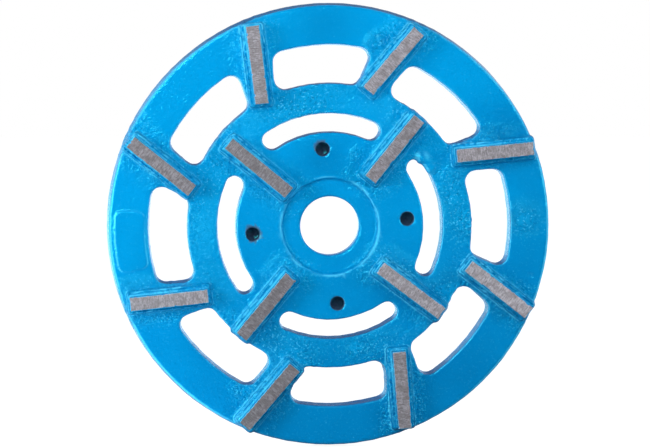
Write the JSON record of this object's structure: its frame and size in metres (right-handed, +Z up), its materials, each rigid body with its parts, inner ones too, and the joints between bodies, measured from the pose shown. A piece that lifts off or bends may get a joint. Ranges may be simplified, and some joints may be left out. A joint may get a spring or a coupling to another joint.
{
  "type": "diamond grinding wheel",
  "caption": "Flat face wheel for grinding stone, with raised diamond segments brazed to a spoked iron body that has a centre bore.",
  "frame": {"origin": "centre of the bounding box: on the spin axis, halfway through the wheel's whole thickness", "axes": "Y is the spin axis. The grinding face looks along -Y and the machine side along +Y. +Z is up as the wheel stands facing the viewer, +X is to the viewer's right."},
  "size_m": [0.25, 0.025, 0.25],
  "materials": {
    "wheel_body": "glossy bright blue enamel over cast iron",
    "diamond_segments": "flat-ground sintered metal with diamond grit, matt",
    "braze": "as-flowed braze metal, satin"
  },
  "bodies": {
    "root": {"wheel_body": "wheel_body", "outer_segment_1": "diamond_segments", "outer_segment_2": "diamond_segments", "outer_segment_3": "diamond_segments", "outer_segment_4": "diamond_segments", "outer_segment_5": "diamond_segments", "outer_segment_6": "diamond_segments", "outer_segment_7": "diamond_segments", "outer_segment_8": "diamond_segments", "inner_segment_1": "diamond_segments", "inner_segment_2": "diamond_segments", "inner_segment_3": "diamond_segments", "inner_segment_4": "diamond_segments", "outer_braze_1": "braze", "outer_braze_2": "braze", "outer_braze_3": "braze", "outer_braze_4": "braze", "outer_braze_5": "braze", "outer_braze_6": "braze", "outer_braze_7": "braze", "outer_braze_8": "braze", "inner_braze_1": "braze", "inner_braze_2": "braze", "inner_braze_3": "braze", "inner_braze_4": "braze"}
  },
  "joints": []
}
